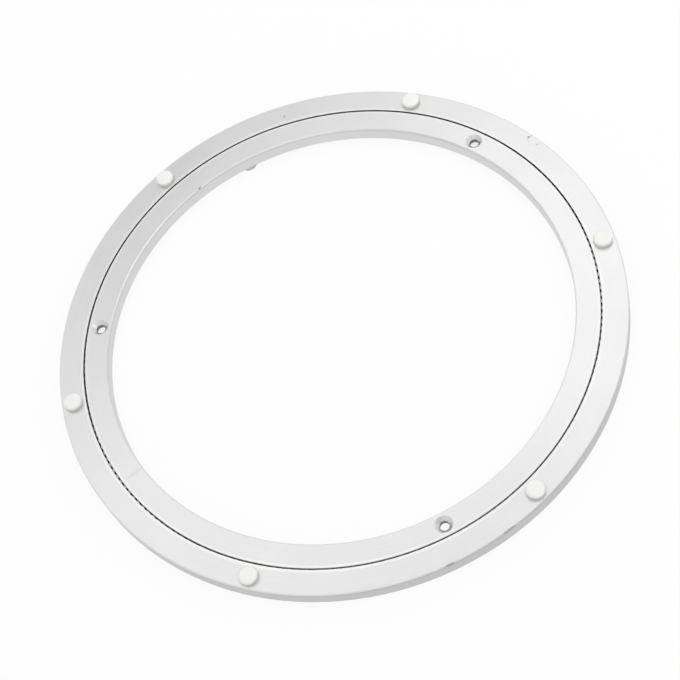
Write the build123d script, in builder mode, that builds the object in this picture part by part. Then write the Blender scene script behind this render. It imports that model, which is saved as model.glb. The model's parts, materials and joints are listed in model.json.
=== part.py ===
from build123d import *
import os
from math import asin, cos, floor, pi, radians, sin, sqrt

# Flat turntable bearing: an outer ring, which carries a table top on six soft pads, turns on a full row of
# balls round an inner ring, which stands on three soft pads and is held down by three countersunk screws.
# The axis is Z, and the origin is on it, in the plane that the bearing stands on. Sizes are in millimetres
# and angles in degrees, counted from +X.

# Ball row
ball_d = 3.969
ball_circle_d = 272.8

# Rings
ring_gap = 0.8
outer_ring_width = 13.2
inner_ring_width = 12.6
ring_height = 8.5
rim_chamfer = 0.5
bore_chamfer = 0.6
gap_chamfer = 0.25
channel_depth = 3.9

# Raceways: V grooves with flanks at 45 degrees, which the balls touch above and below their middle
race_clearance = 0.05

# Screw holes of the inner ring
screw_count = 3
first_screw_angle = -90.0
screw_hole_d = 5.0
countersink_d = 9.0
countersink_angle = 90.0

# Soft pads, all alike: a crowned head on a stem that is pushed into a socket of the outer ring or into the
# channel under the inner ring
pad_d = 10.0
pad_height = 3.5
pad_crown_r = 2.2
crown_bevel_angle = 22.5
pad_sides = 20
stem_d = 6.0
stem_length = 3.0
stem_clearance = 0.03
socket_floor_room = 0.3
top_pad_count = 6
first_top_pad_angle = 48.7
foot_pad_count = screw_count
first_foot_pad_angle = first_screw_angle + 180.0 / screw_count

# Hole for filling in the balls, between two top pads, with its plug and the flat mark of the punch over it
filler_hole_d = 4.2
filler_angle = first_top_pad_angle - 180.0 / top_pad_count
plug_clearance = 0.02
plug_recess = 0.2
plug_end_room = 0.3
punch_mark_d = 7.2
punch_mark_depth = 0.25
punch_mark_inset = 1.9

# Radii
ball_r = ball_d / 2
ball_circle_r = ball_circle_d / 2
outer_ring_inner_r = ball_circle_r + ring_gap / 2
outer_ring_r = outer_ring_inner_r + outer_ring_width
inner_ring_outer_r = ball_circle_r - ring_gap / 2
bore_r = inner_ring_outer_r - inner_ring_width
top_pad_circle_r = (outer_ring_inner_r + outer_ring_r) / 2
screw_circle_r = (bore_r + inner_ring_outer_r) / 2
race_reach = sqrt(2) * (ball_r + race_clearance)
socket_r = stem_d / 2 + stem_clearance

# Channel midway between the bore and the root of the raceway, as wide as the stems
channel_circle_r = (bore_r + ball_circle_r - race_reach) / 2
foot_pad_circle_r = channel_circle_r

# Heights
ring_bottom_z = pad_height
ring_top_z = ring_bottom_z + ring_height
ball_z = (ring_bottom_z + ring_top_z) / 2
socket_depth = stem_length + socket_floor_room

# Balls that fit round the row when they touch each other
ball_count = floor(pi / asin(ball_d / ball_circle_d))


def race_section(side):
    """Cuts the raceway's V out of a ring's section on one side (1 or -1) of the ball circle."""
    Polygon(
        (ball_circle_r, ball_z + race_reach),
        (ball_circle_r + side * race_reach, ball_z),
        (ball_circle_r, ball_z - race_reach),
        align=None,
        mode=Mode.SUBTRACT,
    )


def polar_point(radius, angle, height):
    """Point at a radius and an angle about the axis, at a height."""
    return (radius * cos(radians(angle)), radius * sin(radians(angle)), height)


os.makedirs("parts", exist_ok=True)

# Inner ring: turned section with its raceway outside and a channel below, and screw holes from above
with BuildPart() as inner_ring:
    with BuildSketch(Plane.XZ) as inner_section:
        with Locations((bore_r, ring_bottom_z)):
            Rectangle(inner_ring_width, ring_height, align=(Align.MIN, Align.MIN))
        chamfer(inner_section.vertices().group_by(Axis.X)[0], bore_chamfer)
        chamfer(inner_section.vertices().group_by(Axis.X)[-1].sort_by(Axis.Y)[-1], gap_chamfer)
        with Locations((channel_circle_r, ring_bottom_z)):
            Rectangle(2 * socket_r, channel_depth, align=(Align.CENTER, Align.MIN), mode=Mode.SUBTRACT)
        race_section(-1)
    revolve(axis=Axis.Z)
    with Locations(Plane.XY.offset(ring_top_z)):
        with PolarLocations(screw_circle_r, screw_count, start_angle=first_screw_angle):
            CounterSinkHole(screw_hole_d / 2, countersink_d / 2, counter_sink_angle=countersink_angle)
inner_ring.part.label = "inner_ring"
export_step(inner_ring.part, "parts/inner_ring.step")

# Outer ring: turned section with its raceway inside, pad sockets from above and the filling hole in its wall
filler_plane = Plane(
    origin=polar_point(outer_ring_r, filler_angle, ball_z),
    z_dir=polar_point(1, filler_angle, 0),
)
with BuildPart() as outer_ring:
    with BuildSketch(Plane.XZ) as outer_section:
        with Locations((outer_ring_inner_r, ring_bottom_z)):
            Rectangle(outer_ring_width, ring_height, align=(Align.MIN, Align.MIN))
        chamfer(outer_section.vertices().group_by(Axis.X)[-1], rim_chamfer)
        race_section(1)
    revolve(axis=Axis.Z)
    with BuildSketch(Plane.XY.offset(ring_top_z)):
        with PolarLocations(top_pad_circle_r, top_pad_count, start_angle=first_top_pad_angle):
            Circle(socket_r)
    extrude(amount=-socket_depth, mode=Mode.SUBTRACT)
    with BuildSketch(filler_plane):
        Circle(filler_hole_d / 2)
    extrude(amount=-outer_ring_width, mode=Mode.SUBTRACT)
    with BuildSketch(Plane.XY.offset(ring_top_z)):
        with Locations(polar_point(outer_ring_r - punch_mark_inset, filler_angle, 0)):
            Circle(punch_mark_d / 2)
    extrude(amount=-punch_mark_depth, mode=Mode.SUBTRACT)
outer_ring.part.label = "outer_ring"
export_step(outer_ring.part, "parts/outer_ring.step")

# Filling plug: set a little below the outer wall, with its inner end clear of the balls
plug_length = outer_ring_width + ring_gap / 2 - ball_r - plug_end_room - plug_recess
with BuildPart() as filling_plug:
    with BuildSketch(filler_plane.offset(-plug_recess)):
        Circle(filler_hole_d / 2 - plug_clearance)
    extrude(amount=-plug_length)
filling_plug.part.label = "filling_plug"
export_step(filling_plug.part, "parts/filling_plug.step")

# One ball, drawn with few flat faces whose corners lie on the round ball: a cube cut back to its mid-edges,
# so that four corners point at the four flanks that carry the ball
with BuildPart() as ball:
    cube_side = ball_d / sqrt(2)
    Box(cube_side, cube_side, cube_side)
    for corner in ball.vertices():
        split(bisect_by=Plane(origin=corner.center() * (2 / 3), z_dir=corner.center()), keep=Keep.BOTTOM)

# The row of balls
with BuildPart() as bearing_balls:
    with Locations((0, 0, ball_z)):
        with PolarLocations(ball_circle_r, ball_count):
            add(ball.part)
bearing_balls.part.label = "bearing_balls"
export_step(bearing_balls.part, "parts/bearing_balls.step")

# One pad, drawn with flat sides whose corners lie on the round pad: its head stands on the XY plane, with two
# bevels along the crown's curve, and its stem hangs below
crown_rise = pad_crown_r * sin(radians(2 * crown_bevel_angle))
with BuildPart() as pad:
    with BuildSketch():
        RegularPolygon(stem_d / 2, pad_sides)
    extrude(amount=-stem_length)
    with BuildSketch():
        RegularPolygon(pad_d / 2, pad_sides)
    extrude(amount=pad_height - pad_crown_r)
    extrude(pad.faces().sort_by(Axis.Z)[-1], amount=crown_rise, taper=crown_bevel_angle)
    extrude(pad.faces().sort_by(Axis.Z)[-1], amount=pad_crown_r - crown_rise, taper=90.0 - crown_bevel_angle)

# Pads on the outer ring
for number in range(top_pad_count):
    angle = first_top_pad_angle + 360.0 * number / top_pad_count
    with BuildPart() as top_pad:
        with Locations(Plane(origin=polar_point(top_pad_circle_r, angle, ring_top_z))):
            add(pad.part)
    top_pad.part.label = f"top_pad_{number + 1}"
    export_step(top_pad.part, f"parts/top_pad_{number + 1}.step")

# Pads under the inner ring, heads down
for number in range(foot_pad_count):
    angle = first_foot_pad_angle + 360.0 * number / foot_pad_count
    with BuildPart() as foot_pad:
        with Locations(Plane(origin=polar_point(foot_pad_circle_r, angle, ring_bottom_z), z_dir=(0, 0, -1))):
            add(pad.part)
    foot_pad.part.label = f"foot_pad_{number + 1}"
    export_step(foot_pad.part, f"parts/foot_pad_{number + 1}.step")
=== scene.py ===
import json
import math
from collections import namedtuple

import bmesh
import bpy
from mathutils import Matrix, Vector

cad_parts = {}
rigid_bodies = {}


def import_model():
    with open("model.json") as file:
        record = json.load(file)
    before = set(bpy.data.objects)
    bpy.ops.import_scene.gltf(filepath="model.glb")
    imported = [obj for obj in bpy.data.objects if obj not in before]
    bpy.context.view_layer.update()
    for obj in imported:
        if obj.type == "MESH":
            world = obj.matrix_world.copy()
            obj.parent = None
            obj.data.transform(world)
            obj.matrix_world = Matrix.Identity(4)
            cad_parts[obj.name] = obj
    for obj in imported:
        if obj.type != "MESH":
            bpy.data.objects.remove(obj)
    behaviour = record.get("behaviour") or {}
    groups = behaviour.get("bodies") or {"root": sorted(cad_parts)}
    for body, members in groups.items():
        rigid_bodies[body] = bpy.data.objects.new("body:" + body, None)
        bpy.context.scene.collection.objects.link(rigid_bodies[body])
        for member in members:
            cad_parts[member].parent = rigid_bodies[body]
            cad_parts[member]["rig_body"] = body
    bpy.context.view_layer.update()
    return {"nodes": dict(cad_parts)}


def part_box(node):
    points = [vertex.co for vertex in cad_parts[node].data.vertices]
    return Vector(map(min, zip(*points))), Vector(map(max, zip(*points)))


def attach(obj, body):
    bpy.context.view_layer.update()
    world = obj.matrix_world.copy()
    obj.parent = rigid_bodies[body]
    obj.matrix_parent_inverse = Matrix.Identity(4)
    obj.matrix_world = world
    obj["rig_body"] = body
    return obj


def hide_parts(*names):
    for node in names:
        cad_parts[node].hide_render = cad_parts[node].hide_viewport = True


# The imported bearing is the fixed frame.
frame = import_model()

bl_info = {
    "name": "Turntable bearing looks",
    "version": (1, 0, 0),
    "blender": (4, 5, 0),
    "location": "3D View > Sidebar > Bearing",
    "description": "Finishes the packed turntable bearing: aluminium rings, steel balls and soft pads",
    "category": "Object",
}

MM = 0.001

# A mark on a ring, in millimetres and degrees: its middle, its reach round the ring, across it and down, how
# far it leans from the round direction, and how strongly it shows
Mark = namedtuple("Mark", "angle radius height along across deep lean strength")
INNER_RING_MARKS = (
    # Weld seam where the rolled bar meets itself
    Mark(angle=192.0, radius=128.0, height=8.0, along=2.0, across=14.0, deep=30.0, lean=0.0, strength=0.12),
    # Scratch at the bore
    Mark(angle=104.5, radius=123.9, height=11.8, along=3.2, across=0.8, deep=2.0, lean=10.0, strength=0.8),
)
OUTER_RING_MARKS = (
    # Scratch on the face
    Mark(angle=78.0, radius=142.0, height=12.0, along=3.0, across=0.6, deep=3.0, lean=35.0, strength=0.8),
    # Nicks along the rim
    Mark(angle=267.5, radius=149.7, height=11.6, along=6.5, across=1.6, deep=1.8, lean=0.0, strength=0.45),
    Mark(angle=280.0, radius=149.7, height=11.6, along=9.5, across=1.5, deep=1.8, lean=0.0, strength=0.4),
    # Burrs where the punch mark's edge is torn
    Mark(angle=20.2, radius=147.5, height=11.9, along=1.5, across=1.3, deep=2.0, lean=0.0, strength=0.7),
    Mark(angle=17.5, radius=147.0, height=11.9, along=1.5, across=1.3, deep=2.0, lean=0.0, strength=0.5),
)

# How a ring's walls look: the radius of the wall that was left as rolled and its tone of painted shade, the
# tone with painted shade of the wall at the raceway, the two radii between which all walls are drilled or
# milled, and the channel roof's height
Walls = namedtuple("Walls", "rolled_radius rolled_tone race_tone cut_from cut_to channel_top")

# Each soft lamp's angles round the bearing and above the floor, in degrees, and its diameter in metres
Lamp = namedtuple("Lamp", "name turn rise width")
LAMPS = (
    Lamp("right_lamp", 345, 50, 1.3),
    Lamp("near_lamp", 255, 70, 1.3),
    Lamp("over_lamp", 75, 75, 1.0),
    Lamp("far_right_lamp", 60, 50, 0.8),
    Lamp("far_left_lamp", 120, 50, 0.8),
)

# Most values of a noise lie in this span
NOISE_SPAN = {"From Min": 0.3, "From Max": 0.7}

# Spans of how level a surface is, from 0 on a wall to 1 on a flat face: those in which a ring's wall passes
# into its face, in which the lathe's silk comes in, and in which a pad's flank with painted shade passes
# into its top
WALL_TO_FACE = {"From Min": 0.3, "From Max": 0.6}
FACE_TO_SILK = {"From Min": 0.75, "From Max": 0.95}
FLANK_TO_TOP = {"From Min": 0.0, "From Max": 0.6}

# The room's white sweep: it ends towards the camera's side over the first span and upward over the second
SWEEP_NEAR_END = {"From Min": -0.5, "From Max": -0.1}
SWEEP_TOP_END = {"From Min": 0.2, "From Max": 0.6}

# Fineness of the round pieces
BALL_SUBDIVISIONS = 3
PAD_STEPS = 48
PAD_FOOT_STEPS = 4
PAD_CROWN_STEPS = 10
FLOOR_STEPS = 96
JOIN_DISTANCE = 0.0005 * MM
SHARP_ANGLE = math.radians(50)

# Width of the frame that the lens is given for, in millimetres
FRAME_WIDTH = 36.0


def linear(hex_colour):
    """Linear RGBA of an sRGB colour such as #E4E5E4."""
    shares = [int(hex_colour[i : i + 2], 16) / 255 for i in (1, 3, 5)]
    return [s / 12.92 if s <= 0.04045 else ((s + 0.055) / 1.055) ** 2.4 for s in shares] + [1.0]


WHITE_LIGHT = linear("#FFFFFF")


def length_property(name, description, default):
    """A length that the panel shows in the scene's unit."""
    return bpy.props.FloatProperty(
        name=name, description=description, default=default, min=0.0, unit="LENGTH", precision=5
    )


def colour_property(name, description, hex_colour):
    """A colour that the panel shows as a swatch."""
    return bpy.props.FloatVectorProperty(
        name=name,
        description=description,
        default=linear(hex_colour),
        size=4,
        subtype="COLOR",
        min=0.0,
        max=1.0,
    )


class BearingSizes(bpy.types.PropertyGroup):
    """Sizes of the pieces that are drawn finer than their solids, and of the rings' finish"""

    ball_diameter: length_property("Ball diameter", "Diameter of one steel ball", 3.969 * MM)
    ball_circle: length_property("Ball circle", "Diameter of the circle through the balls", 272.8 * MM)
    ball_count: bpy.props.IntProperty(name="Balls", description="Balls in the row", default=215, min=3)
    # The cap is the part of a ball above its painted shade
    ball_cap: length_property("Ball cap", "Height of the cap of a ball that is free of grease", 0.45 * MM)
    bore: length_property("Bore", "Diameter of the inner ring's bore", 246.8 * MM)
    channel_depth: length_property("Channel depth", "Depth of the channel under the inner ring", 3.9 * MM)
    pad_crown: length_property("Pad crown radius", "Rounding round the top of a pad", 2.2 * MM)
    pad_foot: length_property("Pad foot radius", "Rounding where a pad meets its ring", 0.35 * MM)
    pad_stem: length_property("Pad stem diameter", "Stem that holds a pad in its socket", 6.0 * MM)
    line_spacing: length_property("Turning lines", "Distance between the lines round the rings", 0.6 * MM)


class BearingColours(bpy.types.PropertyGroup):
    """Colours of the pieces and the floor"""

    aluminium: colour_property("Aluminium", "Satin faces of the rings", "#E6E7E6")
    worn_aluminium: colour_property("Worn aluminium", "Nicks, scratches and the weld seam", "#6F6C63")
    sawn_aluminium: colour_property("Sawn aluminium", "Saw lines on the filling plug", "#A9A9A6")
    steel: colour_property("Ball steel", "Lapped steel of the balls", "#F0F0EE")
    oiled_steel: colour_property("Oiled steel", "Smears of oil on the balls", "#D9D7D0")
    soft_plastic: colour_property("Soft plastic", "Moulded pads on the outer ring", "#F8F8F4")
    # Painted shade: the feet's plastic is greyer than the top pads' to stand for the shadow under the ring
    shaded_foot_plastic: colour_property("Foot plastic", "Moulded pads that the bearing stands on", "#DEDFDC")
    paper: colour_property("Paper", "Floor under the bearing", "#FAFAF9")


class BearingStage(bpy.types.PropertyGroup):
    """Camera, lamps and floor"""

    lens: bpy.props.FloatProperty(
        name="Lens", description="Focal length in millimetres on a 36 mm frame", default=89.66, min=1.0
    )
    camera_place: bpy.props.FloatVectorProperty(
        name="Camera place",
        description="Where the camera stands",
        default=(-0.03891, -0.476694, 0.745139),
        subtype="TRANSLATION",
    )
    camera_turn: bpy.props.FloatVectorProperty(
        name="Camera turn",
        description="How the camera is tilted, turned and rolled",
        default=[math.radians(a) for a in (30.4376, 12.051, -24.061)],
        subtype="EULER",
    )
    floor_radius: length_property("Floor radius", "Radius of the paper floor", 3.0)
    floor_glow: bpy.props.FloatProperty(
        name="Floor glow",
        description="Share of the floor's light that comes from below",
        default=0.88,
        min=0.0,
        max=1.0,
    )
    room_level: bpy.props.FloatProperty(
        name="Room light", description="Mean strength of the room's light", default=0.82, min=0.0
    )
    room_slope: bpy.props.FloatVectorProperty(
        name="Room slope",
        description="How the room's light grows towards the right, ahead and above",
        default=(-0.19, -0.14, -0.49),
        subtype="XYZ",
    )
    lamp_distance: length_property("Lamp distance", "Distance of each lamp from the bearing's middle", 1.3)
    lamp_powers: bpy.props.FloatVectorProperty(
        name="Lamp powers",
        description="Watts of the lamps on the right, near, overhead, far right and far left",
        default=(4.17, 3.37, 1.32, 1.44, 1.13),
        size=5,
        min=0.0,
    )


def add_node(tree, kind, inputs=None, **settings):
    """Adds a node with its settings. An input given as a socket is linked to it, and any other is set."""
    node = tree.nodes.new(kind)
    for name, value in settings.items():
        setattr(node, name, value)
    for name, value in (inputs or {}).items():
        if isinstance(value, bpy.types.NodeSocket):
            tree.links.new(value, node.inputs[name])
        else:
            node.inputs[name].default_value = value
    return node


def new_material(name):
    """A material with an empty tree."""
    material = bpy.data.materials.new(name)
    material.use_nodes = True
    material.node_tree.nodes.clear()
    return material


def finish_material(tree, **inputs):
    """Gives a material its surface shader, whose inputs have the shader's names with _ for each space."""
    named = {name.replace("_", " "): value for name, value in inputs.items()}
    shader = add_node(tree, "ShaderNodeBsdfPrincipled", named)
    add_node(tree, "ShaderNodeOutputMaterial", {"Surface": shader.outputs["BSDF"]})


def polar(radius, angle, height):
    """Point at a radius, an angle in degrees and a height, in millimetres, as metres."""
    turn = math.radians(angle)
    return Vector((radius * math.cos(turn), radius * math.sin(turn), height)) * MM


def levelness(tree, normal):
    """How level the surface is by the named normal: 0 on a wall and 1 on a flat face."""
    direction = add_node(tree, "ShaderNodeNewGeometry").outputs[normal]
    upward = add_node(tree, "ShaderNodeSeparateXYZ", {0: direction}).outputs["Z"]
    return add_node(tree, "ShaderNodeMath", {0: upward}, operation="ABSOLUTE").outputs[0]


def turning_lines(tree, flat, height, radius):
    """Lines of the lathe's tool: really about 0.1 mm apart, and drawn coarser so that they show. Each runs
    about 60 mm before it fades into the next, and the walls have them too, a little wider apart."""
    sizes = bpy.context.scene.bearing_sizes
    line_run = 60 * MM
    wall_share = 0.7
    across = add_node(
        tree, "ShaderNodeMath", {0: height, 1: wall_share, 2: radius}, operation="MULTIPLY_ADD"
    ).outputs[0]
    across = add_node(
        tree, "ShaderNodeMath", {0: across, 1: sizes.line_spacing}, operation="DIVIDE"
    ).outputs[0]
    outward = add_node(tree, "ShaderNodeVectorMath", {0: flat}, operation="NORMALIZE").outputs[0]
    runs = sizes.ball_circle / 2 / line_run
    along = add_node(tree, "ShaderNodeVectorMath", {0: outward, "Scale": runs}, operation="SCALE").outputs[0]
    lift = add_node(tree, "ShaderNodeCombineXYZ", {"Z": across}).outputs[0]
    groove = add_node(tree, "ShaderNodeVectorMath", {0: along, 1: lift}, operation="ADD").outputs[0]
    return add_node(
        tree, "ShaderNodeTexNoise", {"Vector": groove, "Scale": 1.0, "Detail": 3.0}
    ).outputs["Fac"]


def wear(tree, place, marks):
    """How strongly marks of use show: each is an ellipse, and an etched grain of 0.5 mm makes it ragged."""
    grain_size = 0.5 * MM
    solid_part = 0.5
    grain = add_node(
        tree, "ShaderNodeTexNoise", {"Vector": place, "Scale": 1 / grain_size, "Detail": 1.0}
    ).outputs["Color"]
    torn = add_node(
        tree, "ShaderNodeVectorMath", {0: grain, 1: (grain_size,) * 3, 2: place}, operation="MULTIPLY_ADD"
    ).outputs[0]
    worn = 0.0
    for mark in marks:
        local = add_node(
            tree,
            "ShaderNodeMapping",
            {
                "Vector": torn,
                "Location": polar(mark.radius, mark.angle, mark.height) + Vector((grain_size / 2,) * 3),
                "Rotation": (0.0, 0.0, math.radians(mark.angle + mark.lean)),
                "Scale": Vector((mark.across, mark.along, mark.deep)) * MM / 2,
            },
            vector_type="TEXTURE",
        ).outputs[0]
        reach = add_node(tree, "ShaderNodeVectorMath", {0: local}, operation="LENGTH").outputs["Value"]
        shown = add_node(
            tree,
            "ShaderNodeMapRange",
            {
                "Value": reach,
                "From Min": solid_part,
                "From Max": 1.0,
                "To Min": mark.strength,
                "To Max": 0.0,
            },
            interpolation_type="SMOOTHSTEP",
        ).outputs[0]
        worn = add_node(tree, "ShaderNodeMath", {0: worn, 1: shown}, operation="MAXIMUM").outputs[0]
    return worn


def wall_skin_and_shade(tree, walls, level, height, radius):
    """A ring's tone, and what is added to its roughness, which both differ on its walls. One wall keeps the
    dull skin of the rolled bar and is darkened by painted shade, darkest in a band under its upper edge. The
    raceway's wall and the drilled holes' walls are darkened by painted shade, and the channel below the
    holes is milled smoother and brightened by painted light."""
    band_share = 0.87
    # Painted shade on the drilled holes' walls
    hole_shade_tone = 0.35
    # Painted light on the milled channel's walls
    milled_painted_light = 0.2
    wall_roughness, milled_roughness = 0.2, -0.2
    # Painted shade on the rolled wall, darkest in a band under its upper edge
    band = add_node(
        tree,
        "ShaderNodeMapRange",
        {
            "Value": height,
            "From Min": 10.0 * MM,
            "From Max": 11.0 * MM,
            "To Min": walls.rolled_tone,
            "To Max": band_share * walls.rolled_tone,
        },
    ).outputs[0]
    away = add_node(
        tree, "ShaderNodeMath", {0: radius, 1: walls.rolled_radius}, operation="SUBTRACT"
    ).outputs[0]
    away = add_node(tree, "ShaderNodeMath", {0: away}, operation="ABSOLUTE").outputs[0]

    middle = (walls.cut_to + walls.cut_from) / 2
    half_width = (walls.cut_to - walls.cut_from) / 2
    cut = add_node(
        tree, "ShaderNodeMath", {0: radius, 1: middle, 2: half_width}, operation="COMPARE"
    ).outputs[0]
    below = add_node(
        tree, "ShaderNodeMath", {0: height, 1: walls.channel_top}, operation="LESS_THAN"
    ).outputs[0]
    milled = add_node(tree, "ShaderNodeMath", {0: cut, 1: below}, operation="MULTIPLY").outputs[0]
    drilled = add_node(tree, "ShaderNodeMath", {0: cut, 1: milled}, operation="SUBTRACT").outputs[0]
    # Painted shade on the raceway's and the drilled holes' walls
    cut_tone = add_node(
        tree, "ShaderNodeMapRange", {"Value": drilled, "To Min": walls.race_tone, "To Max": hole_shade_tone}
    ).outputs[0]
    # Painted light added in the milled channel
    cut_tone = add_node(
        tree, "ShaderNodeMath", {0: milled, 1: milled_painted_light, 2: cut_tone}, operation="MULTIPLY_ADD"
    ).outputs[0]
    wall_tone = add_node(
        tree,
        "ShaderNodeMapRange",
        {"Value": away, "From Min": 0.5 * MM, "From Max": 1.5 * MM, "To Min": band, "To Max": cut_tone},
    ).outputs[0]
    coarse = add_node(
        tree, "ShaderNodeMapRange", {"Value": milled, "To Min": wall_roughness, "To Max": milled_roughness}
    ).outputs[0]
    tone = add_node(
        tree, "ShaderNodeMapRange", {"Value": level, **WALL_TO_FACE, "To Min": wall_tone, "To Max": 1.0}
    ).outputs[0]
    roughness = add_node(
        tree, "ShaderNodeMapRange", {"Value": level, **WALL_TO_FACE, "To Min": coarse, "To Max": 0.0}
    ).outputs[0]
    return tone, roughness


def turned_aluminium(name, marks, walls):
    """Aluminium bar rolled to a ring, faced on a lathe, etched and satin anodised. The eye gets a pale silky
    metal: fine lines round the ring draw each lamp out into soft lobes on the flat faces, the walls are
    duller by how each was made and carry painted shade and painted light, a painted highlight runs beside
    the slit, and the marks of use are dull and dark."""
    sizes = bpy.context.scene.bearing_sizes
    colours = bpy.context.scene.bearing_colours
    patch_width = 30 * MM
    darkest_line, darkest_patch = 0.955, 0.96
    smoothest, roughest = 0.33, 0.4
    silkiness = 0.6
    edge_highlight_gain, edge_scatter = 0.35, 0.3

    material = new_material(name)
    tree = material.node_tree
    place = add_node(tree, "ShaderNodeTexCoord").outputs["Object"]
    flat = add_node(tree, "ShaderNodeVectorMath", {0: place, 1: (1, 1, 0)}, operation="MULTIPLY").outputs[0]
    height = add_node(tree, "ShaderNodeSeparateXYZ", {0: place}).outputs["Z"]
    radius = add_node(tree, "ShaderNodeVectorMath", {0: flat}, operation="LENGTH").outputs["Value"]
    level = levelness(tree, "True Normal")
    lines = turning_lines(tree, flat, height, radius)
    worn = wear(tree, place, marks)
    wall_shade_tone, skin_roughness = wall_skin_and_shade(tree, walls, level, height, radius)

    # Only the flat faces have the lathe's silk. Beside the slit they are burnished and scatter more light,
    # and a painted highlight lightens them.
    silk = add_node(
        tree, "ShaderNodeMapRange", {"Value": level, **FACE_TO_SILK, "To Max": silkiness}
    ).outputs[0]
    beside = add_node(
        tree, "ShaderNodeMath", {0: radius, 1: sizes.ball_circle / 2}, operation="SUBTRACT"
    ).outputs[0]
    beside = add_node(tree, "ShaderNodeMath", {0: beside}, operation="ABSOLUTE").outputs[0]
    edge = add_node(
        tree,
        "ShaderNodeMapRange",
        {"Value": beside, "From Min": 1.2 * MM, "From Max": 2.2 * MM, "To Min": silk, "To Max": 0.0},
    ).outputs[0]
    # Painted highlight along the slit's edges
    painted_edge_highlight = add_node(
        tree, "ShaderNodeMath", {0: edge, 1: edge_highlight_gain, 2: 1.0}, operation="MULTIPLY_ADD"
    ).outputs[0]

    # Tone: lines, patches from the bath and from handling, painted shade and light on the walls, and the
    # painted highlight at the slit's edges
    patches = add_node(
        tree, "ShaderNodeTexNoise", {"Vector": place, "Scale": 1 / patch_width, "Detail": 2.0}
    ).outputs["Fac"]
    tone = add_node(
        tree, "ShaderNodeMapRange", {"Value": lines, **NOISE_SPAN, "To Min": darkest_line}
    ).outputs[0]
    patchy = add_node(
        tree, "ShaderNodeMapRange", {"Value": patches, **NOISE_SPAN, "To Min": darkest_patch}
    ).outputs[0]
    for share in (patchy, wall_shade_tone, painted_edge_highlight):
        tone = add_node(tree, "ShaderNodeMath", {0: tone, 1: share}, operation="MULTIPLY").outputs[0]
    toned = add_node(
        tree, "ShaderNodeVectorMath", {0: colours.aluminium[:3], "Scale": tone}, operation="SCALE"
    ).outputs[0]
    colour = add_node(
        tree, "ShaderNodeMix", {"Factor": worn, "A": toned, "B": colours.worn_aluminium}, data_type="RGBA"
    ).outputs["Result"]

    rough = add_node(
        tree, "ShaderNodeMapRange", {"Value": lines, **NOISE_SPAN, "To Min": smoothest, "To Max": roughest}
    ).outputs[0]
    rough = add_node(tree, "ShaderNodeMath", {0: rough, 1: skin_roughness}, operation="ADD").outputs[0]
    rough = add_node(
        tree, "ShaderNodeMath", {0: edge, 1: edge_scatter, 2: rough}, operation="MULTIPLY_ADD"
    ).outputs[0]
    # Edges are broken, so their light runs over them softly
    soft = add_node(tree, "ShaderNodeBevel", {"Radius": 0.25 * MM}, samples=4).outputs[0]
    bump = add_node(
        tree, "ShaderNodeBump", {"Height": lines, "Strength": 0.06, "Distance": 0.1 * MM, "Normal": soft}
    )
    turned = add_node(tree, "ShaderNodeTangent", direction_type="RADIAL", axis="Z").outputs[0]
    finish_material(
        tree,
        Base_Color=colour,
        Metallic=1.0,
        Roughness=rough,
        Anisotropic=silk,
        Tangent=turned,
        Normal=bump.outputs["Normal"],
    )
    return material


def sawn_aluminium(name):
    """Bare aluminium rod sawn off and pressed in: duller and greyer than the rings, with a saw's lines."""
    colours = bpy.context.scene.bearing_colours
    line_run, line_spacing = 8 * MM, 0.3 * MM
    material = new_material(name)
    tree = material.node_tree
    place = add_node(tree, "ShaderNodeTexCoord").outputs["Object"]
    cut = add_node(
        tree,
        "ShaderNodeMapping",
        {"Vector": place, "Scale": (1 / line_run, 1 / line_run, 1 / line_spacing)},
    ).outputs[0]
    saw = add_node(tree, "ShaderNodeTexNoise", {"Vector": cut, "Scale": 1.0, "Detail": 2.0}).outputs["Fac"]
    colour = add_node(
        tree,
        "ShaderNodeMix",
        {"Factor": saw, "A": colours.sawn_aluminium, "B": colours.aluminium},
        data_type="RGBA",
    ).outputs["Result"]
    bump = add_node(tree, "ShaderNodeBump", {"Height": saw, "Strength": 0.2, "Distance": 0.1 * MM})
    finish_material(tree, Base_Color=colour, Metallic=1.0, Roughness=0.5, Normal=bump.outputs["Normal"])
    return material


def lapped_steel(name, cap_height):
    """Hardened bearing steel, lapped and lightly oiled: bright caps with faint smears of oil, and painted
    shade darkening each ball below the given height, so that the eye sees the row as beads."""
    colours = bpy.context.scene.bearing_colours
    smear_width = 2 * MM
    smoothest, roughest = 0.28, 0.4
    ball_shade_tone = 0.1
    material = new_material(name)
    tree = material.node_tree
    place = add_node(tree, "ShaderNodeTexCoord").outputs["Object"]
    smears = add_node(
        tree, "ShaderNodeTexNoise", {"Vector": place, "Scale": 1 / smear_width, "Detail": 2.0}
    ).outputs["Fac"]
    colour = add_node(
        tree,
        "ShaderNodeMix",
        {"Factor": smears, "A": colours.oiled_steel, "B": colours.steel},
        data_type="RGBA",
    ).outputs["Result"]
    rough = add_node(
        tree, "ShaderNodeMapRange", {"Value": smears, "To Min": roughest, "To Max": smoothest}
    ).outputs[0]
    height = add_node(tree, "ShaderNodeSeparateXYZ", {0: place}).outputs["Z"]
    # Painted shade: each ball is darkened below its cap
    unshaded_share = add_node(
        tree,
        "ShaderNodeMapRange",
        {
            "Value": height,
            "From Min": cap_height - 0.15 * MM,
            "From Max": cap_height + 0.1 * MM,
            "To Min": ball_shade_tone,
        },
    ).outputs[0]
    shaded_steel = add_node(
        tree, "ShaderNodeVectorMath", {0: colour, "Scale": unshaded_share}, operation="SCALE"
    ).outputs[0]
    finish_material(tree, Base_Color=shaded_steel, Metallic=1.0, Roughness=rough)
    return material


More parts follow.
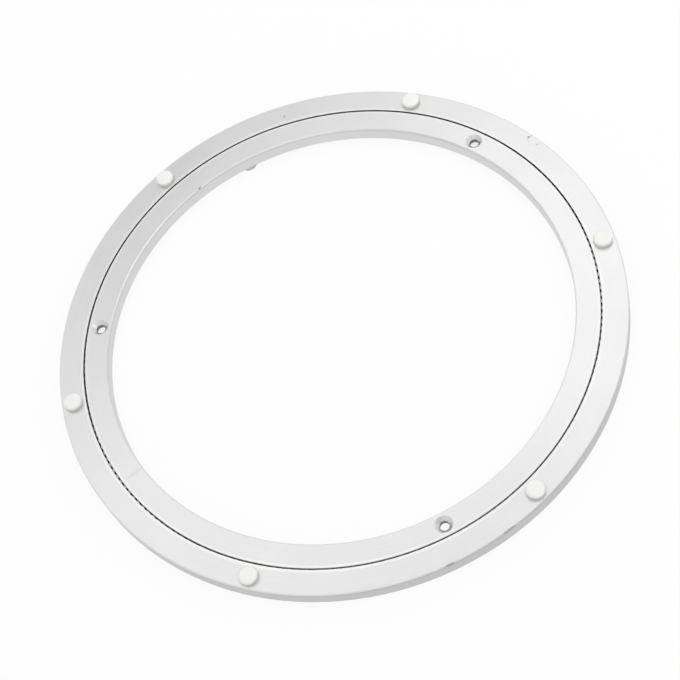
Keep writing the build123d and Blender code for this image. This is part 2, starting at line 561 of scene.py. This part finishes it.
def moulded_plastic(name, plastic):
    """Soft PVC, moulded: a warm white, or for the feet a grey that is painted shade, that lets a little
    light in, with a low waxy gloss, faint clouds from handling, flanks darkened by painted shade, and a fine
    skin, really about 0.05 mm and drawn at 0.4 mm so that it shows."""
    skin_size, cloud_width = 0.4 * MM, 6 * MM
    cloud_tone, flank_shade_tone = 0.93, 0.68
    material = new_material(name)
    tree = material.node_tree
    place = add_node(tree, "ShaderNodeTexCoord").outputs["Object"]
    skin = add_node(tree, "ShaderNodeTexNoise", {"Vector": place, "Scale": 1 / skin_size}).outputs["Fac"]
    cloud = add_node(tree, "ShaderNodeTexNoise", {"Vector": place, "Scale": 1 / cloud_width}).outputs["Fac"]
    shade = add_node(tree, "ShaderNodeMapRange", {"Value": cloud, "To Min": cloud_tone}).outputs[0]
    # Painted shade on the pads' flanks
    flank_shade = add_node(
        tree,
        "ShaderNodeMapRange",
        {"Value": levelness(tree, "Normal"), **FLANK_TO_TOP, "To Min": flank_shade_tone},
    ).outputs[0]
    shade = add_node(tree, "ShaderNodeMath", {0: shade, 1: flank_shade}, operation="MULTIPLY").outputs[0]
    colour = add_node(
        tree, "ShaderNodeVectorMath", {0: plastic[:3], "Scale": shade}, operation="SCALE"
    ).outputs[0]
    rough = add_node(
        tree, "ShaderNodeMapRange", {"Value": cloud, "To Min": 0.42, "To Max": 0.58}
    ).outputs[0]
    bump = add_node(tree, "ShaderNodeBump", {"Height": skin, "Strength": 0.08, "Distance": 0.2 * MM})
    finish_material(
        tree,
        Base_Color=colour,
        Roughness=rough,
        IOR=1.53,
        Subsurface_Weight=0.2,
        Subsurface_Scale=0.6 * MM,
        Subsurface_Radius=(1.0, 0.9, 0.75),
        Normal=bump.outputs["Normal"],
    )
    return material


def matt_paper(name):
    """Uncoated white paper: flat and even, with a faint tooth of 1 mm. The eye and the metal see it lit from
    below as well, so that it is white and keeps only a faint shadow of the bearing."""
    colours = bpy.context.scene.bearing_colours
    glow = bpy.context.scene.bearing_stage.floor_glow
    tooth_size = 1.0 * MM
    material = new_material(name)
    tree = material.node_tree
    place = add_node(tree, "ShaderNodeTexCoord").outputs["Object"]
    tooth = add_node(tree, "ShaderNodeTexNoise", {"Vector": place, "Scale": 1 / tooth_size}).outputs["Fac"]
    bump = add_node(tree, "ShaderNodeBump", {"Height": tooth, "Strength": 0.02, "Distance": 0.1 * MM})
    paper = add_node(
        tree,
        "ShaderNodeBsdfDiffuse",
        {"Color": colours.paper, "Roughness": 0.5, "Normal": bump.outputs["Normal"]},
    )
    below = add_node(tree, "ShaderNodeEmission", {"Color": WHITE_LIGHT, "Strength": 1.0})
    rays = add_node(tree, "ShaderNodeLightPath").outputs
    seen = rays["Is Camera Ray"]
    for ray in ("Is Glossy Ray", "Is Transmission Ray"):
        seen = add_node(tree, "ShaderNodeMath", {0: seen, 1: rays[ray]}, operation="MAXIMUM").outputs[0]
    share = add_node(tree, "ShaderNodeMath", {0: seen, 1: glow}, operation="MULTIPLY").outputs[0]
    floor = add_node(
        tree, "ShaderNodeMixShader", {"Fac": share, 1: paper.outputs[0], 2: below.outputs[0]}
    )
    add_node(tree, "ShaderNodeOutputMaterial", {"Surface": floor.outputs[0]})
    return material


def set_material(node, material):
    """Gives a node of the frame its material."""
    for place in frame["nodes"][node].material_slots:
        place.material = material


def new_object(name, shape, material):
    """Makes an object in the scene from a bmesh, which is used up."""
    mesh = bpy.data.meshes.new(name)
    shape.to_mesh(mesh)
    shape.free()
    mesh.materials.append(material)
    thing = bpy.data.objects.new(name, mesh)
    bpy.context.scene.collection.objects.link(thing)
    return thing


def new_piece(name, shape, material, node):
    """Makes a smooth piece from a bmesh, which stands for a node of the frame and rides on its body."""
    piece = new_object(name, shape, material)
    piece.data.shade_smooth()
    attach(piece, frame["nodes"][node]["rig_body"])
    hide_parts(node)
    return piece


def arc(centre_radius, centre_height, size, start, end, steps):
    """Points of an arc in a lathe outline, as (radius, height), with its angles in degrees from outward."""
    turns = [math.radians(start + (end - start) * i / steps) for i in range(steps + 1)]
    return [(centre_radius + size * math.cos(t), centre_height + size * math.sin(t)) for t in turns]


def lathe(outline, place, up, steps):
    """A solid of revolution, from an outline that starts and ends on the axis, set upright or head down."""
    shape = bmesh.new()
    line = [shape.verts.new((radius, 0.0, height * up)) for radius, height in outline]
    edges = [shape.edges.new(pair) for pair in zip(line, line[1:])]
    bmesh.ops.spin(
        shape,
        geom=line + edges,
        cent=(0, 0, 0),
        axis=(0, 0, 1),
        angle=math.tau,
        steps=steps,
        use_duplicate=False,
    )
    bmesh.ops.remove_doubles(shape, verts=shape.verts, dist=JOIN_DISTANCE)
    bmesh.ops.recalc_face_normals(shape, faces=shape.faces)
    bmesh.ops.translate(shape, verts=shape.verts, vec=place)

    # Joining leaves the faces in another order on each run, so they are sorted by their corners
    shape.verts.index_update()
    count = len(shape.verts)

    def corner_order(face):
        first, second, *_, last = sorted(corner.index for corner in face.verts)
        return (first * count + second) * count + last

    shape.faces.sort(key=corner_order)
    return shape


class BEARING_OT_finish_rings(bpy.types.Operator):
    """Gives the two rings and the filling plug their aluminium"""

    bl_idname = "bearing.finish_rings"
    bl_label = "Finish rings"

    def execute(self, context):
        sizes = context.scene.bearing_sizes
        bore_radius = sizes.bore / 2
        inner_walls = Walls(
            rolled_radius=bore_radius,
            # Painted shade on the rolled bore wall
            rolled_tone=0.94,
            race_tone=1.0,
            cut_from=bore_radius + 1.5 * MM,
            cut_to=sizes.ball_circle / 2 - 3.0 * MM,
            channel_top=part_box("inner_ring")[0].z + sizes.channel_depth,
        )
        # The outer ring's holes are filled, so it has no cut walls that show
        outer_walls = Walls(
            rolled_radius=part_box("outer_ring")[1].x,
            # Painted shade on the rolled outer wall
            rolled_tone=0.78,
            # Painted shade on the raceway wall in the slit
            race_tone=0.5,
            cut_from=0.0,
            cut_to=0.0,
            channel_top=0.0,
        )
        inner = turned_aluminium("anodised_aluminium_turned_inner", INNER_RING_MARKS, inner_walls)
        outer = turned_aluminium("anodised_aluminium_turned_outer", OUTER_RING_MARKS, outer_walls)
        set_material("inner_ring", inner)
        set_material("outer_ring", outer)
        set_material("filling_plug", sawn_aluminium("bare_aluminium_sawn"))
        return {"FINISHED"}


class BEARING_OT_make_balls(bpy.types.Operator):
    """Makes the round balls of the row"""

    bl_idname = "bearing.make_balls"
    bl_label = "Make balls"

    def execute(self, context):
        sizes = context.scene.bearing_sizes
        low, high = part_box("bearing_balls")
        middle = (low.z + high.z) / 2
        shape = bmesh.new()
        for number in range(sizes.ball_count):
            turn = Matrix.Rotation(math.tau * number / sizes.ball_count, 4, "Z")
            bmesh.ops.create_icosphere(
                shape,
                subdivisions=BALL_SUBDIVISIONS,
                radius=sizes.ball_diameter / 2,
                matrix=turn @ Matrix.Translation((sizes.ball_circle / 2, 0.0, middle)),
            )
        cap_height = middle + sizes.ball_diameter / 2 - sizes.ball_cap
        steel = lapped_steel("bearing_steel_lapped", cap_height)
        new_piece("steel_balls", shape, steel, "bearing_balls")
        return {"FINISHED"}


class BEARING_OT_make_pads(bpy.types.Operator):
    """Makes the crowned pads on the outer ring and under the inner ring"""

    bl_idname = "bearing.make_pads"
    bl_label = "Make pads"

    def execute(self, context):
        sizes = context.scene.bearing_sizes
        colours = context.scene.bearing_colours
        top_plastic = moulded_plastic("soft_pvc_moulded_white", colours.soft_plastic)
        # Painted shade: a greyer copy of the pads' plastic for the feet in the ring's shadow
        shaded_foot_plastic = moulded_plastic("soft_pvc_moulded_shaded", colours.shaded_foot_plastic)
        seats = {
            "top_pad": (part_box("outer_ring")[1].z, 1, top_plastic),
            "foot_pad": (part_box("inner_ring")[0].z, -1, shaded_foot_plastic),
        }
        for node in sorted(frame["nodes"]):
            kind = node.rpartition("_")[0]
            if kind not in seats:
                continue
            seat, up, plastic = seats[kind]
            low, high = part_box(node)
            head_radius = (high.x - low.x) / 2
            head = high.z - seat if up > 0 else seat - low.z
            stem = seat - low.z if up > 0 else high.z - seat
            crown, foot = sizes.pad_crown, sizes.pad_foot
            outline = [(0.0, -stem), (sizes.pad_stem / 2, -stem), (sizes.pad_stem / 2, 0.0)]
            outline += arc(head_radius - foot, foot, foot, -90, 0, PAD_FOOT_STEPS)
            outline += arc(head_radius - crown, head - crown, crown, 0, 90, PAD_CROWN_STEPS)
            outline.append((0.0, head))
            place = ((low.x + high.x) / 2, (low.y + high.y) / 2, seat)
            shape = lathe(outline, place, up, PAD_STEPS)
            piece = new_piece("soft_" + node, shape, plastic, node)
            piece.data.set_sharp_from_angle(angle=SHARP_ANGLE)
        return {"FINISHED"}


def pale_room(settings):
    """The room's light, which grows or fades by direction. A white sweep stands low down round the sides and
    the far end, and the camera sees white all round."""
    room = bpy.data.worlds.new("pale_room")
    room.use_nodes = True
    tree = room.node_tree
    tree.nodes.clear()
    direction = add_node(tree, "ShaderNodeTexCoord").outputs["Generated"]
    slope = add_node(
        tree, "ShaderNodeVectorMath", {0: direction, 1: settings.room_slope}, operation="DOT_PRODUCT"
    ).outputs["Value"]
    level = add_node(tree, "ShaderNodeMath", {0: slope, 1: settings.room_level}, operation="ADD").outputs[0]
    ways = add_node(tree, "ShaderNodeSeparateXYZ", {0: direction}).outputs
    beyond = add_node(tree, "ShaderNodeMapRange", {"Value": ways["Y"], **SWEEP_NEAR_END}).outputs[0]
    sweep = add_node(
        tree, "ShaderNodeMapRange", {"Value": ways["Z"], **SWEEP_TOP_END, "To Min": beyond, "To Max": 0.0}
    ).outputs[0]
    seen = add_node(tree, "ShaderNodeLightPath").outputs["Is Camera Ray"]
    for white in (sweep, seen):
        level = add_node(tree, "ShaderNodeMath", {0: level, 1: white}, operation="MAXIMUM").outputs[0]
    walls = add_node(tree, "ShaderNodeBackground", {"Color": WHITE_LIGHT, "Strength": level})
    add_node(tree, "ShaderNodeOutputWorld", {"Surface": walls.outputs[0]})
    return room


class BEARING_OT_set_stage(bpy.types.Operator):
    """Sets the paper floor, the lamps, the room's light and the camera"""

    bl_idname = "bearing.set_stage"
    bl_label = "Set stage"

    def execute(self, context):
        scene = context.scene
        settings = scene.bearing_stage
        shape = bmesh.new()
        bmesh.ops.create_circle(shape, cap_ends=True, segments=FLOOR_STEPS, radius=settings.floor_radius)
        floor = new_object("paper_floor", shape, matt_paper("white_paper_matt"))
        scene.world = pale_room(settings)

        for (name, turn, rise, width), power in zip(LAMPS, settings.lamp_powers):
            lamp = bpy.data.lights.new(name, "AREA")
            lamp.shape = "DISK"
            lamp.size = width
            lamp.energy = power
            stand = bpy.data.objects.new(name, lamp)
            swing = Matrix.Rotation(math.radians(turn), 3, "Z")
            swing = swing @ Matrix.Rotation(math.radians(-rise), 3, "Y")
            stand.location = swing @ Vector((settings.lamp_distance, 0.0, 0.0))
            stand.rotation_euler = stand.location.to_track_quat("Z", "Y").to_euler()
            scene.collection.objects.link(stand)

        lens = bpy.data.cameras.new("camera")
        lens.sensor_width = FRAME_WIDTH
        lens.lens = settings.lens
        camera = bpy.data.objects.new("camera", lens)
        camera.location = settings.camera_place
        camera.rotation_euler = settings.camera_turn
        scene.collection.objects.link(camera)
        scene.camera = camera
        scene.view_settings.view_transform = "Standard"
        return {"FINISHED"}


class BEARING_PT_looks(bpy.types.Panel):
    """Lists what makes the bearing's looks, with its sizes and colours"""

    bl_idname = "BEARING_PT_looks"
    bl_label = "Bearing"
    bl_space_type = "VIEW_3D"
    bl_region_type = "UI"
    bl_category = "Bearing"

    def draw(self, context):
        for operator in OPERATORS:
            self.layout.operator(operator.bl_idname)
        for name in GROUPS:
            group = getattr(context.scene, name)
            box = self.layout.box()
            for value in group.__annotations__:
                box.prop(group, value)


GROUPS = {"bearing_sizes": BearingSizes, "bearing_colours": BearingColours, "bearing_stage": BearingStage}
OPERATORS = (BEARING_OT_finish_rings, BEARING_OT_make_balls, BEARING_OT_make_pads, BEARING_OT_set_stage)
CLASSES = (*GROUPS.values(), *OPERATORS, BEARING_PT_looks)


def register():
    for kind in CLASSES:
        bpy.utils.register_class(kind)
    for name, group in GROUPS.items():
        setattr(bpy.types.Scene, name, bpy.props.PointerProperty(type=group))


def unregister():
    for name in GROUPS:
        delattr(bpy.types.Scene, name)
    for kind in reversed(CLASSES):
        bpy.utils.unregister_class(kind)


def main():
    register()
    bpy.ops.bearing.finish_rings()
    bpy.ops.bearing.make_balls()
    bpy.ops.bearing.make_pads()
    bpy.ops.bearing.set_stage()


if __name__ == "__main__":
    main()
